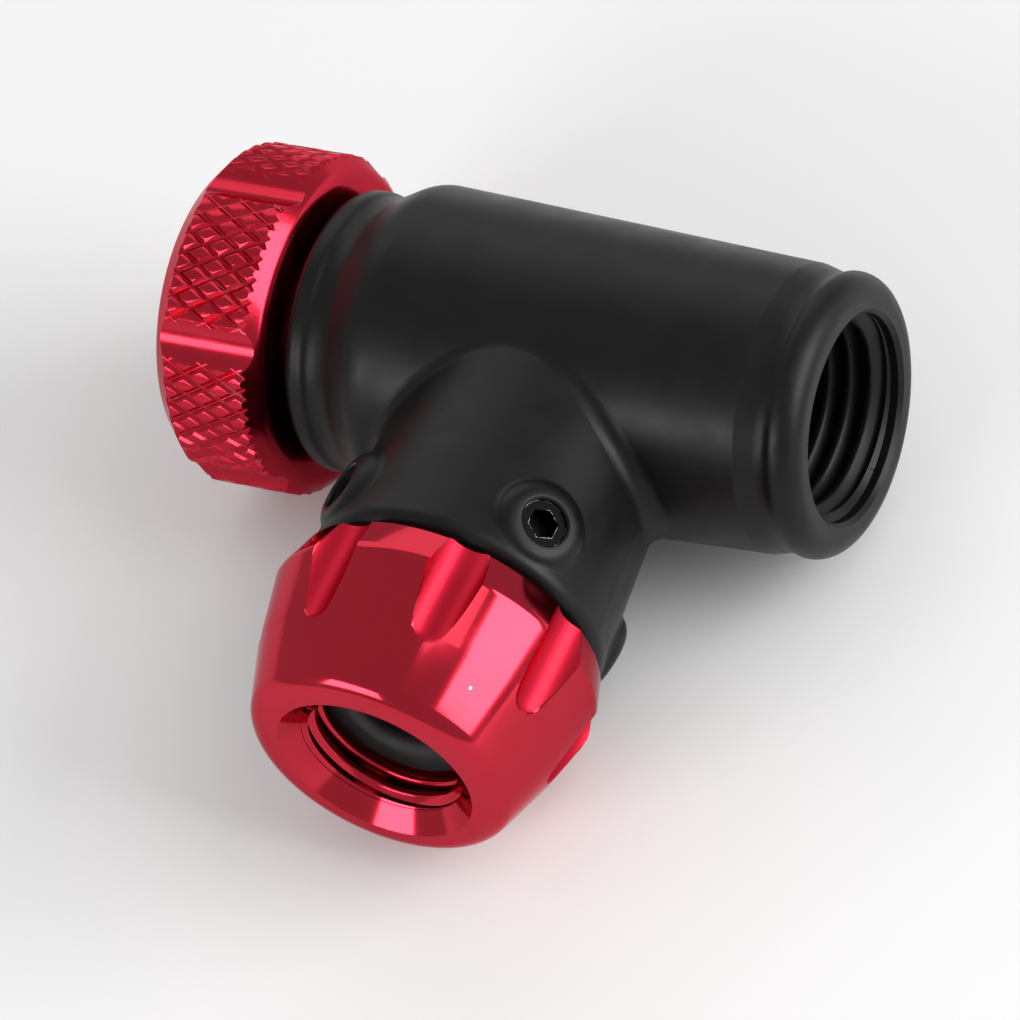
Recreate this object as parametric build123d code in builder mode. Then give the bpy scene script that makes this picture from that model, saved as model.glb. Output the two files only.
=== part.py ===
from build123d import *
import os
from math import cos, radians, sin

# Inflator head for a threaded gas cartridge, lying on its side.
# All sizes are in millimetres. The barrel runs along X and the cartridge screws in
# from +X. The branch runs along -Y and carries the chuck that goes on the tyre valve.
# +Z is up. The origin is on the barrel's axis, where the cartridge thread starts.

os.makedirs("parts", exist_ok=True)

# ---------------------------------------------------------------- driving sizes
# Fits
running_gap = 0.05          # radial gap of a turning or sliding fit
seat_gap = 0.02             # radial gap of a part that is screwed or pushed home
seal_gap = 0.01             # radial gap left round an O-ring
face_gap = 0.3              # gap between the faces of two moving parts

# Barrel, measured along X from the axis of the branch
branch_to_mouth = 14.1      # branch axis to the cartridge mouth
branch_to_back = 11.9       # branch axis to the back face, under the knob
barrel_back_radius = 7.43
barrel_front_radius = 6.67
barrel_front_end = 2.95     # mouth face back to the end of the taper
back_bead_radius = 6.6
back_bead_width = 0.95
back_groove_radius = 6.44
back_groove_width = 1.05
shoulder_length = 1.9
groove_slope = 0.35         # length of the short flanks beside both grooves
front_groove_radius = 6.42
front_groove_width = 0.4
lip_radius = 6.58
lip_width = 1.2
# Corner rounds of the barrel's outline, from the back face to the mouth
barrel_rounds = [0.5, 0.5, 0.6, 1.5, 2.0, 0.4, 1.0, 0.6, 0.5, 1.05]

# Cartridge thread, 3/8-24 UNF, bored to its major diameter and a clearance
cartridge_major_radius = 4.7625
cartridge_thread_gap = 0.0375
mouth_chamfer = 0.2
cartridge_thread_length = 6.4
relief_radius = 5.15        # plain bore below the thread, round the seal
relief_length = 3.0

# Branch, measured down -Y from the axis of the barrel
branch_neck_radius = 6.5
branch_neck_depth = 7.2
branch_flare = 0.09         # radius gained for each millimetre down
branch_length = 14.65
branch_lip_round = 0.7
saddle_round = 0.9
socket_radius = 5.0
socket_wall_above = 8.2     # barrel axis to the roof of the socket

# Grub screws, M2.5 drawn at the pitch diameter, four round the branch
screw_count = 4
screw_first_angle = 45.5     # direction of the first screw, from +X towards +Z
screw_depth = 12.05         # barrel axis down to the screws
screw_radius = 1.1
screw_outer_end = 7.1
screw_point_radius = 0.65
screw_point_gap = 0.05      # end of the point to the floor of the neck's groove
screw_point_length = 0.8
screw_socket_flats = 1.3
screw_socket_depth = 1.0
boss_radius = 2.2
boss_reach = 7.35
boss_round = 0.9
boss_root = 5.4             # how far in from the branch axis the boss begins
boss_blend = 0.35
hole_chamfer = 0.08

# Gas way inside the barrel, from the cartridge to the valve seat
pin_pocket_radius = 3.0
pin_pocket_length = 1.9
gas_way_radius = 0.9
gas_way_length = 0.6
seat_pocket_radius = 2.0
seat_length = 1.0
seat_bore_radius = 0.7
seat_chamfer = 0.2
chamber_radius = 3.2
branch_way_radius = 0.9

# Piercing parts
pin_radius = 0.8
pin_bore_radius = 0.3
pin_reach = 2.8             # how far the pin stands out of its holder
pin_point_length = 1.2
holder_flats = 3.2
holder_socket_depth = 0.8
cartridge_seal_length = 1.0
cartridge_seal_bore = 1.6
cartridge_seal_inset = 0.15
holder_ring_section = 0.3

# Valve stem
stem_travel = 1.5           # one and a half turns of a 1 mm thread
stem_nose_radius = 1.2
stem_nose_length = 2.8
stem_tip_length = 1.1
stem_tip_radius = 1.15
stem_tip_chamfer = 0.35
stem_tip_peg_radius = 0.5
stem_tip_peg_length = 0.9
stem_land_length = 3.0
stem_land_gap = 0.1
stem_thread_radius = 2.5
stem_ring_section = 0.5     # radius of the O-ring's section
stem_drive_radius = 2.4
stem_drive_flats = 4.0
stem_end_gap = 0.1          # end of the stem to the knob's washer

# Bonnet, the nut that holds the stem in
bonnet_radius = 4.5
bonnet_back_inset = 0.6
bonnet_stop_gap = 0.3
bonnet_chamfer = 0.3
bonnet_ring_section = 0.4
bonnet_pin_hole_count = 2
bonnet_pin_hole_radius = 0.45
bonnet_pin_hole_circle = 3.5
bonnet_pin_hole_depth = 0.8

# Knob
knob_gap = 0.6              # back face of the housing to the knob when shut
knob_radius = 8.03
knob_length = 5.7
knob_front_chamfer = 0.75
knob_back_chamfer = 0.95
knob_flute_count = 6
knob_flute_angle = 79       # direction of the first flute, from +Y towards +Z
knob_flute_radius = 1.6
knob_flute_depth = 0.46
knob_dish_radius = 5.2
knob_dish_depth = 0.6
knob_washer_radius = 3.2
knob_washer_length = 0.4
knob_counterbore_depth = 1.0
knob_screw_radius = 1.25
knob_screw_head_radius = 2.4
knob_screw_head_length = 1.0
knob_screw_shank_length = 3.2
knob_screw_socket_flats = 2.0
knob_screw_socket_depth = 0.7

# Chuck, measured down -Y from the axis of the barrel
chuck_top_radius = 7.4
chuck_widest_radius = 7.92
chuck_widest_depth = 1.7    # below the chuck's top face
chuck_waist_radius = 7.29
chuck_waist_depth = 4.55
chuck_shoulder_radius = 6.42
chuck_shoulder_depth = 7.25
chuck_bottom_radius = 6.08
chuck_length = 8.3
chuck_rounds = [0.2, 0.8, 6.0, 1.5, 1.15]   # corners, from the top face to the mouth
chuck_neck_gap = 0.1
chuck_neck_clear = 0.5      # roof of the socket to the end of the neck
chuck_way_radius = 1.3
chuck_flute_count = 8
chuck_flute_angle = 20      # direction of the first flute, from +X towards +Z
chuck_flute_radius = 1.45
chuck_flute_floor = 6.98    # flute bottom's distance from the axis
chuck_flute_length = 4.7    # chuck's top face to the centre of the cutter's round nose
chuck_ring_section = 0.5
neck_groove_depth = 0.45    # groove for the points of the grub screws
valve_thread_radius = 3.9
valve_thread_length = 2.0
valve_mouth_radius = 4.72
gasket_bore_radius = 4.15   # plain bore above the thread
valve_gasket_length = 2.6
valve_gasket_bore = 2.1
gasket_washer_length = 0.8
depressor_pin_radius = 0.7
depressor_disc_length = 0.9
depressor_hole_count = 3
depressor_hole_radius = 0.6
depressor_hole_circle = 2.3
depressor_pin_inset = 0.3
valve_gasket_round = 0.6
neck_end_chamfer = 0.2

# ---------------------------------------------------------------- places
# Along X
branch_x = mouth_chamfer - branch_to_mouth
mouth_x = mouth_chamfer
back_x = branch_x - branch_to_back
thread_floor_x = -cartridge_thread_length
port_floor_x = thread_floor_x - relief_length
pin_pocket_floor_x = port_floor_x - pin_pocket_length
seat_front_x = pin_pocket_floor_x - gas_way_length
seat_back_x = seat_front_x - seat_length
stem_nose_back_x = seat_back_x - stem_nose_length
stem_land_back_x = stem_nose_back_x - stem_land_length
bonnet_front_x = stem_land_back_x - stem_travel - bonnet_stop_gap
bonnet_back_x = back_x + bonnet_back_inset
knob_front_x = back_x - knob_gap
knob_back_x = knob_front_x - knob_length
stem_drive_front_x = knob_front_x
knob_dish_x = knob_back_x + knob_dish_depth
knob_washer_x = knob_dish_x + knob_counterbore_depth
stem_end_x = knob_washer_x + stem_end_gap
port_radius = cartridge_major_radius + cartridge_thread_gap

# Down the branch
chuck_top = branch_length + face_gap
chuck_mouth = chuck_top + chuck_length
neck_radius = socket_radius - chuck_neck_gap
neck_end = socket_wall_above + chuck_neck_clear
valve_chamfer = valve_mouth_radius - valve_thread_radius
gasket_bottom = chuck_mouth - valve_chamfer - valve_thread_length
gasket_top = gasket_bottom - valve_gasket_length
gasket_washer_top = gasket_top - gasket_washer_length
depressor_top = gasket_washer_top - depressor_disc_length
neck_groove_radius = neck_radius - neck_groove_depth
screw_tip_reach = neck_groove_radius + screw_point_gap
branch_axis = Axis((branch_x, 0, 0), (0, 1, 0))
barrel_axis = Axis.X


def branch_plane(depth):
    """Plane across the branch at a depth below the barrel's axis, facing down."""
    return Plane(origin=(branch_x, -depth, 0), x_dir=(1, 0, 0), z_dir=(0, -1, 0))


def barrel_plane(x):
    """Plane across the barrel at x, facing the cartridge."""
    return Plane(origin=(x, 0, 0), x_dir=(0, 1, 0), z_dir=(1, 0, 0))


def screw_plane(angle, reach):
    """Plane across one grub screw, facing outward at this reach from the branch axis."""
    outward = (cos(radians(angle)), 0, sin(radians(angle)))
    place = (branch_x + reach * outward[0], -screw_depth, reach * outward[2])
    return Plane(origin=place, x_dir=(0, 1, 0), z_dir=outward)


def screw_side_plane(angle):
    """Plane that holds one grub screw's axis, with its X outward along that axis."""
    outward = (cos(radians(angle)), 0, sin(radians(angle)))
    sideways = (-outward[2], 0, outward[0])
    return Plane(origin=(branch_x, -screw_depth, 0), x_dir=outward, z_dir=sideways)


screw_angles = [screw_first_angle + step * 360 / screw_count for step in range(screw_count)]


# ---------------------------------------------------------------- housing
barrel_front_x = mouth_x - barrel_front_end
groove_back_x = back_x + back_bead_width + groove_slope
shoulder_x = back_x + back_bead_width + back_groove_width
lip_back_x = mouth_x - lip_width
barrel_outline = [
    (back_x, 0),
    (back_x, back_bead_radius),
    (back_x + back_bead_width, back_bead_radius),
    (groove_back_x, back_groove_radius),
    (shoulder_x, back_groove_radius),
    (shoulder_x + shoulder_length, barrel_back_radius),
    (barrel_front_x, barrel_front_radius),
    (lip_back_x - groove_slope - front_groove_width, front_groove_radius),
    (lip_back_x - groove_slope, front_groove_radius),
    (lip_back_x, lip_radius),
    (mouth_x, lip_radius),
    (mouth_x, 0),
]
branch_top_radius = branch_neck_radius - branch_flare * branch_neck_depth
branch_lip_radius = branch_top_radius + branch_flare * branch_length
branch_outline = [
    (branch_x, 0),
    (branch_x + branch_top_radius, 0),
    (branch_x + branch_lip_radius, -branch_length),
    (branch_x, -branch_length),
]

with BuildPart() as housing:
    with BuildSketch(Plane.XY):
        with BuildLine():
            FilletPolyline(*barrel_outline, radius=barrel_rounds)
            Line(barrel_outline[-1], barrel_outline[0])
        make_face()
    revolve(axis=barrel_axis)
    with BuildSketch(Plane.XY):
        with BuildLine():
            Polyline(*branch_outline, close=True)
        make_face()
    revolve(axis=branch_axis)
    fillet(housing.edges(Select.NEW), radius=saddle_round)
    fillet(housing.edges().group_by(Axis.Y)[0], radius=branch_lip_round)
    # The four bosses, rounded at the top
    for angle in screw_angles:
        boss_plane = screw_side_plane(angle)
        with BuildSketch(boss_plane):
            with BuildLine():
                Line((boss_root, 0), (boss_root, boss_radius))
                Line((boss_root, boss_radius), (boss_reach - boss_round, boss_radius))
                TangentArc(
                    (boss_reach - boss_round, boss_radius),
                    (boss_reach, boss_radius - boss_round),
                    tangent=(1, 0),
                )
                Line((boss_reach, boss_radius - boss_round), (boss_reach, 0))
                Line((boss_reach, 0), (boss_root, 0))
            make_face()
        revolve(axis=Axis(boss_plane.origin, boss_plane.x_dir))
        fillet(housing.edges(Select.NEW), radius=boss_blend)
    # Cartridge port, and the pocket and gas way behind it
    with BuildSketch(barrel_plane(thread_floor_x)):
        Circle(port_radius)
    extrude(amount=mouth_x - thread_floor_x, mode=Mode.SUBTRACT)
    with BuildSketch(barrel_plane(port_floor_x)):
        Circle(relief_radius)
    extrude(amount=relief_length, mode=Mode.SUBTRACT)
    with BuildSketch(barrel_plane(pin_pocket_floor_x)):
        Circle(pin_pocket_radius)
    extrude(amount=pin_pocket_length, mode=Mode.SUBTRACT)
    with BuildSketch(barrel_plane(seat_front_x)):
        Circle(gas_way_radius)
    extrude(amount=gas_way_length, mode=Mode.SUBTRACT)
    # Valve seat, chamber and bonnet thread
    with BuildSketch(barrel_plane(seat_back_x)):
        Circle(seat_pocket_radius)
    extrude(amount=seat_length, mode=Mode.SUBTRACT)
    with BuildSketch(barrel_plane(bonnet_front_x)):
        Circle(chamber_radius)
    extrude(amount=seat_back_x - bonnet_front_x, mode=Mode.SUBTRACT)
    with BuildSketch(barrel_plane(back_x)):
        Circle(bonnet_radius)
    extrude(amount=bonnet_front_x - back_x, mode=Mode.SUBTRACT)
    # Branch gas way and the socket for the chuck's neck
    with BuildSketch(branch_plane(0)):
        Circle(branch_way_radius)
    extrude(amount=socket_wall_above, mode=Mode.SUBTRACT)
    with BuildSketch(branch_plane(socket_wall_above)):
        Circle(socket_radius)
    extrude(amount=branch_length - socket_wall_above, mode=Mode.SUBTRACT)
    # Threaded holes of the grub screws
    for angle in screw_angles:
        with BuildSketch(screw_plane(angle, boss_reach)):
            Circle(screw_radius + seat_gap)
        extrude(amount=socket_radius / 2 - boss_reach, mode=Mode.SUBTRACT)
    mouth_edge = housing.edges().group_by(Axis.X)[-1].sort_by(SortBy.RADIUS)[0]
    chamfer(mouth_edge, length=mouth_chamfer)
    # Entry chamfers of the screw holes
    for angle in screw_angles:
        with BuildSketch(screw_plane(angle, boss_reach)):
            Circle(screw_radius + seat_gap + hole_chamfer)
        extrude(amount=-hole_chamfer, taper=45, mode=Mode.SUBTRACT)
housing.part.label = "housing"
export_step(housing.part, "parts/housing.step")


# ---------------------------------------------------------------- piercing parts
holder_length = pin_pocket_length - 2 * holder_ring_section
with BuildPart() as pin_holder:
    with BuildSketch(barrel_plane(port_floor_x - holder_length)):
        Circle(pin_pocket_radius - seat_gap)
    extrude(amount=holder_length)
    with BuildSketch(barrel_plane(port_floor_x)):
        RegularPolygon(radius=holder_flats / 2, side_count=6, major_radius=False)
    extrude(amount=-holder_socket_depth, mode=Mode.SUBTRACT)
    with BuildSketch(barrel_plane(port_floor_x - holder_length)):
        Circle(pin_radius)
    extrude(amount=holder_length, mode=Mode.SUBTRACT)
pin_holder.part.label = "pin_holder"
export_step(pin_holder.part, "parts/pin_holder.step")

pin_back_x = port_floor_x - holder_length
pin_front_x = port_floor_x + pin_reach
with BuildPart() as piercing_pin:
    with BuildSketch(barrel_plane(pin_back_x)):
        Circle(pin_radius)
    extrude(amount=pin_front_x - pin_back_x)
    # The slanted cut that makes the point
    with BuildSketch(Plane.XY):
        with BuildLine():
            Polyline(
                (pin_front_x, -pin_radius / 2),
                (pin_front_x, pin_radius * 2),
                (pin_front_x - pin_point_length, pin_radius * 2),
                (pin_front_x - pin_point_length, pin_radius),
                close=True,
            )
        make_face()
    extrude(amount=pin_radius * 2, both=True, mode=Mode.SUBTRACT)
    with BuildSketch(barrel_plane(pin_back_x)):
        Circle(pin_bore_radius)
    extrude(amount=pin_front_x - pin_back_x, mode=Mode.SUBTRACT)
piercing_pin.part.label = "piercing_pin"
export_step(piercing_pin.part, "parts/piercing_pin.step")

# O-ring between the pin holder and the floor of its pocket
holder_ring_circle = pin_pocket_radius - holder_ring_section - seal_gap
with BuildPart() as holder_oring:
    with BuildSketch(Plane.XY):
        with Locations((pin_pocket_floor_x + holder_ring_section, holder_ring_circle)):
            Circle(holder_ring_section)
    revolve(axis=barrel_axis)
holder_oring.part.label = "holder_oring"
export_step(holder_oring.part, "parts/holder_oring.step")

with BuildPart() as cartridge_seal:
    with BuildSketch(barrel_plane(port_floor_x)):
        Circle(relief_radius - cartridge_seal_inset)
        Circle(cartridge_seal_bore, mode=Mode.SUBTRACT)
    extrude(amount=cartridge_seal_length)
    chamfer(cartridge_seal.edges().group_by(Axis.X)[-1], length=cartridge_seal_inset)
cartridge_seal.part.label = "cartridge_seal"
export_step(cartridge_seal.part, "parts/cartridge_seal.step")

with BuildPart() as valve_seat:
    with BuildSketch(barrel_plane(seat_back_x)):
        Circle(seat_pocket_radius - seat_gap)
        Circle(seat_bore_radius, mode=Mode.SUBTRACT)
    extrude(amount=seat_length)
    chamfer(valve_seat.edges().group_by(Axis.X)[0].sort_by(SortBy.RADIUS)[0], length=seat_chamfer)
valve_seat.part.label = "valve_seat"
export_step(valve_seat.part, "parts/valve_seat.step")


# ---------------------------------------------------------------- bonnet
bonnet_ring_x = (bonnet_front_x + bonnet_back_x) / 2
bonnet_ring_circle = bonnet_radius - bonnet_ring_section - seal_gap
with BuildPart() as bonnet:
    with BuildSketch(barrel_plane(bonnet_back_x)):
        Circle(bonnet_radius - seat_gap)
        Circle(stem_thread_radius + running_gap, mode=Mode.SUBTRACT)
    extrude(amount=bonnet_front_x - bonnet_back_x)
    chamfer(bonnet.edges().group_by(Axis.X)[-1].sort_by(SortBy.RADIUS)[-1], length=bonnet_chamfer)
    # Holes for a pin spanner
    with BuildSketch(barrel_plane(bonnet_back_x)):
        with PolarLocations(bonnet_pin_hole_circle, bonnet_pin_hole_count):
            Circle(bonnet_pin_hole_radius)
    extrude(amount=bonnet_pin_hole_depth, mode=Mode.SUBTRACT)
    # Groove of the O-ring
    with BuildSketch(Plane.XY):
        with Locations((bonnet_ring_x, bonnet_radius)):
            Rectangle(2 * (bonnet_ring_section + running_gap), 4 * (bonnet_ring_section + seal_gap))
    revolve(axis=barrel_axis, mode=Mode.SUBTRACT)
bonnet.part.label = "bonnet"
export_step(bonnet.part, "parts/bonnet.step")

with BuildPart() as bonnet_oring:
    with BuildSketch(Plane.XY):
        with Locations((bonnet_ring_x, bonnet_ring_circle)):
            Circle(bonnet_ring_section)
    revolve(axis=barrel_axis)
bonnet_oring.part.label = "bonnet_oring"
export_step(bonnet_oring.part, "parts/bonnet_oring.step")


# ---------------------------------------------------------------- grub screws
with BuildPart() as grub_screws:
    for angle in screw_angles:
        with BuildSketch(screw_plane(angle, screw_tip_reach)):
            Circle(screw_point_radius)
        extrude(amount=screw_point_length)
        with BuildSketch(screw_plane(angle, screw_outer_end)):
            Circle(screw_radius)
        extrude(amount=screw_tip_reach + screw_point_length - screw_outer_end)
        with BuildSketch(screw_plane(angle, screw_outer_end)):
            RegularPolygon(radius=screw_socket_flats / 2, side_count=6, major_radius=False)
        extrude(amount=-screw_socket_depth, mode=Mode.SUBTRACT)
grub_screws.part.label = "grub_screws"
export_step(grub_screws.part, "parts/grub_screws.step")


# ---------------------------------------------------------------- valve stem
stem_land_radius = chamber_radius - stem_land_gap
stem_ring_x = (stem_nose_back_x + stem_land_back_x) / 2
stem_ring_circle = chamber_radius - stem_ring_section - seal_gap
stem_groove_radius = stem_ring_circle - stem_ring_section - seal_gap
stem_nose_front_x = seat_back_x - stem_tip_length
with BuildPart() as stem:
    with BuildSketch(barrel_plane(stem_nose_back_x)):
        Circle(stem_nose_radius)
    extrude(amount=stem_nose_front_x - stem_nose_back_x)
    with BuildSketch(barrel_plane(stem_land_back_x)):
        Circle(stem_land_radius)
    extrude(amount=stem_nose_back_x - stem_land_back_x)
    with BuildSketch(barrel_plane(stem_drive_front_x)):
        Circle(stem_thread_radius)
    extrude(amount=stem_land_back_x - stem_drive_front_x)
    # Two flats turn the stem with the knob
    with BuildSketch(barrel_plane(stem_end_x)):
        Circle(stem_drive_radius)
        Rectangle(2 * stem_drive_radius, stem_drive_flats, mode=Mode.INTERSECT)
    extrude(amount=stem_drive_front_x - stem_end_x)
    with BuildSketch(barrel_plane(stem_end_x)):
        Circle(knob_screw_radius)
    extrude(amount=knob_screw_shank_length, mode=Mode.SUBTRACT)
    # Hole for the tip's peg
    with BuildSketch(barrel_plane(stem_nose_front_x - stem_tip_peg_length)):
        Circle(stem_tip_peg_radius)
    extrude(amount=stem_tip_peg_length, mode=Mode.SUBTRACT)
    # Groove of the O-ring
    with BuildSketch(Plane.XY):
        with BuildLine():
            Polyline(
                (stem_ring_x - stem_ring_section - running_gap, stem_groove_radius),
                (stem_ring_x + stem_ring_section + running_gap, stem_groove_radius),
                (stem_ring_x + stem_ring_section + running_gap, chamber_radius),
                (stem_ring_x - stem_ring_section - running_gap, chamber_radius),
                close=True,
            )
        make_face()
    revolve(axis=barrel_axis, mode=Mode.SUBTRACT)
stem.part.label = "stem"
export_step(stem.part, "parts/stem.step")

with BuildPart() as stem_oring:
    with BuildSketch(Plane.XY):
        with Locations((stem_ring_x, stem_ring_circle)):
            Circle(stem_ring_section)
    revolve(axis=barrel_axis)
stem_oring.part.label = "stem_oring"
export_step(stem_oring.part, "parts/stem_oring.step")

with BuildPart() as stem_tip:
    with BuildSketch(barrel_plane(stem_nose_front_x)):
        Circle(stem_tip_radius)
    extrude(amount=stem_tip_length - seat_gap)
    chamfer(stem_tip.edges().group_by(Axis.X)[-1], length=stem_tip_chamfer)
    with BuildSketch(barrel_plane(stem_nose_front_x)):
        Circle(stem_tip_peg_radius)
    extrude(amount=-stem_tip_peg_length)
stem_tip.part.label = "stem_tip"
export_step(stem_tip.part, "parts/stem_tip.step")


# ---------------------------------------------------------------- knob
with BuildPart() as knob:
    with BuildSketch(barrel_plane(knob_back_x)):
        Circle(knob_radius)
    extrude(amount=knob_length)
    chamfer(knob.edges().group_by(Axis.X)[-1], length=knob_front_chamfer)
    chamfer(knob.edges().group_by(Axis.X)[0], length=knob_back_chamfer)
    # Finger flutes
    with BuildSketch(barrel_plane(knob_back_x)):
        with PolarLocations(
            knob_radius + knob_flute_radius - knob_flute_depth,
            knob_flute_count,
            start_angle=knob_flute_angle,
        ):
            Circle(knob_flute_radius)
    extrude(amount=knob_length, mode=Mode.SUBTRACT)
    # Dish, counterbore and the hole for the stem's flats
    with BuildSketch(barrel_plane(knob_back_x)):
        Circle(knob_dish_radius)
    extrude(amount=knob_dish_depth, mode=Mode.SUBTRACT)
    with BuildSketch(barrel_plane(knob_dish_x)):
        Circle(knob_washer_radius + running_gap)
    extrude(amount=knob_counterbore_depth, mode=Mode.SUBTRACT)
    with BuildSketch(barrel_plane(knob_washer_x)):
        Circle(stem_drive_radius + seat_gap)
        Rectangle(2 * knob_washer_radius, stem_drive_flats + 2 * seat_gap, mode=Mode.INTERSECT)
    extrude(amount=knob_front_x - knob_washer_x, mode=Mode.SUBTRACT)
knob.part.label = "knob"
export_step(knob.part, "parts/knob.step")

with BuildPart() as knob_washer:
    with BuildSketch(barrel_plane(knob_washer_x - knob_washer_length)):
        Circle(knob_washer_radius)
        Circle(knob_screw_radius + running_gap, mode=Mode.SUBTRACT)
    extrude(amount=knob_washer_length)
knob_washer.part.label = "knob_washer"
export_step(knob_washer.part, "parts/knob_washer.step")

knob_screw_seat_x = knob_washer_x - knob_washer_length
with BuildPart() as knob_screw:
    with BuildSketch(barrel_plane(knob_screw_seat_x - knob_screw_head_length)):
        Circle(knob_screw_head_radius)
    extrude(amount=knob_screw_head_length)
    fillet(knob_screw.edges().group_by(Axis.X)[0], radius=knob_screw_head_length / 2)
    with BuildSketch(barrel_plane(knob_screw_seat_x)):
        Circle(knob_screw_radius - seat_gap)
    extrude(amount=knob_screw_shank_length)
    with BuildSketch(barrel_plane(knob_screw_seat_x - knob_screw_head_length)):
        RegularPolygon(radius=knob_screw_socket_flats / 2, side_count=6, major_radius=False)
    extrude(amount=knob_screw_socket_depth, mode=Mode.SUBTRACT)
knob_screw.part.label = "knob_screw"
export_step(knob_screw.part, "parts/knob_screw.step")


# ---------------------------------------------------------------- chuck
chuck_outline = [
    (branch_x, -chuck_top),
    (branch_x + chuck_top_radius, -chuck_top),
    (branch_x + chuck_widest_radius, -chuck_top - chuck_widest_depth),
    (branch_x + chuck_waist_radius, -chuck_top - chuck_waist_depth),
    (branch_x + chuck_shoulder_radius, -chuck_top - chuck_shoulder_depth),
    (branch_x + chuck_bottom_radius, -chuck_mouth),
    (branch_x, -chuck_mouth),
]
chuck_ring_depth = (neck_end + screw_depth - screw_point_radius) / 2
chuck_ring_circle = socket_radius - chuck_ring_section - seal_gap
chuck_ring_groove = chuck_ring_circle - chuck_ring_section - seal_gap
with BuildPart() as chuck:
    with BuildSketch(Plane.XY):
        with BuildLine():
            FilletPolyline(*chuck_outline, radius=chuck_rounds)
            Line(chuck_outline[-1], chuck_outline[0])
        make_face()
    revolve(axis=branch_axis)
    # Finger flutes, cut with a round-nosed cutter that stops short of the mouth
    flute_reach = chuck_flute_floor + chuck_flute_radius
    for step in range(chuck_flute_count):
        angle = radians(chuck_flute_angle + step * 360 / chuck_flute_count)
        across = branch_x + flute_reach * cos(angle)
        up = flute_reach * sin(angle)
        with BuildSketch(Plane(origin=(across, -chuck_top, up), z_dir=(0, -1, 0))):
            Circle(chuck_flute_radius)
        extrude(amount=chuck_flute_length, mode=Mode.SUBTRACT)
        with Locations((across, -chuck_top - chuck_flute_length, up)):
            Sphere(chuck_flute_radius, mode=Mode.SUBTRACT)
    # Neck that goes up into the housing
    with BuildSketch(branch_plane(neck_end)):
        Circle(neck_radius)
    extrude(amount=chuck_top - neck_end)
    with BuildSketch(branch_plane(neck_end)):
        Circle(chuck_way_radius)
    extrude(amount=depressor_top - neck_end, mode=Mode.SUBTRACT)
    with BuildSketch(branch_plane(depressor_top)):
        Circle(gasket_bore_radius)
    extrude(amount=gasket_bottom - depressor_top, mode=Mode.SUBTRACT)
    with BuildSketch(branch_plane(gasket_bottom)):
        Circle(valve_thread_radius)
    extrude(amount=chuck_mouth - gasket_bottom, mode=Mode.SUBTRACT)
    mouth_circle = chuck.edges().group_by(Axis.Y)[0].sort_by(SortBy.RADIUS)[0]
    chamfer(mouth_circle, length=valve_chamfer)
    # Groove for the points of the grub screws, and the groove of the O-ring
    with BuildSketch(Plane.XY):
        with Locations((branch_x + neck_groove_radius + neck_radius / 2, -screw_depth)):
            Rectangle(neck_radius, 2 * (screw_point_radius + running_gap))
        with Locations((branch_x + chuck_ring_groove + neck_radius / 2, -chuck_ring_depth)):
            Rectangle(neck_radius, 2 * (chuck_ring_section + running_gap))
    revolve(axis=branch_axis, mode=Mode.SUBTRACT)
    chamfer(chuck.edges().group_by(Axis.Y)[-1].sort_by(SortBy.RADIUS)[-1], length=neck_end_chamfer)
chuck.part.label = "chuck"
export_step(chuck.part, "parts/chuck.step")

with BuildPart() as chuck_oring:
    with BuildSketch(Plane.XY):
        with Locations((branch_x + chuck_ring_circle, -chuck_ring_depth)):
            Circle(chuck_ring_section)
    revolve(axis=branch_axis)
chuck_oring.part.label = "chuck_oring"
export_step(chuck_oring.part, "parts/chuck_oring.step")

with BuildPart() as depressor:
    with BuildSketch(branch_plane(depressor_top)):
        Circle(gasket_bore_radius - seat_gap)
        with PolarLocations(depressor_hole_circle, depressor_hole_count):
            Circle(depressor_hole_radius, mode=Mode.SUBTRACT)
    extrude(amount=depressor_disc_length)
    with BuildSketch(branch_plane(gasket_washer_top)):
        Circle(depressor_pin_radius)
    extrude(amount=gasket_bottom - depressor_pin_inset - gasket_washer_top)
    fillet(depressor.edges().group_by(Axis.Y)[0], radius=depressor_pin_radius / 2)
depressor.part.label = "depressor"
export_step(depressor.part, "parts/depressor.step")

with BuildPart() as gasket_washer:
    with BuildSketch(branch_plane(gasket_washer_top)):
        Circle(gasket_bore_radius - seat_gap)
        Circle(depressor_hole_circle + depressor_hole_radius, mode=Mode.SUBTRACT)
    extrude(amount=gasket_washer_length)
gasket_washer.part.label = "gasket_washer"
export_step(gasket_washer.part, "parts/gasket_washer.step")

with BuildPart() as valve_gasket:
    with BuildSketch(branch_plane(gasket_top)):
        Circle(gasket_bore_radius - seat_gap)
        Circle(valve_gasket_bore, mode=Mode.SUBTRACT)
    extrude(amount=valve_gasket_length)
    inner_rim = valve_gasket.edges().group_by(Axis.Y)[0].sort_by(SortBy.RADIUS)[0]
    fillet(inner_rim, radius=valve_gasket_round)
valve_gasket.part.label = "valve_gasket"
export_step(valve_gasket.part, "parts/valve_gasket.step")
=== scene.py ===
# %% [markdown]
# # A gas inflator head
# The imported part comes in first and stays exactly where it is. It is a T of black coated
# aluminium with a red knob behind, a red chuck below and a threaded port in front. Every
# length here is in metres. The barrel lies along X and the branch points along -Y.

# %% Load the frame
from math import cos, pi, radians, sin, tan

import bmesh
import bpy
from mathutils import Matrix, Vector


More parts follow.
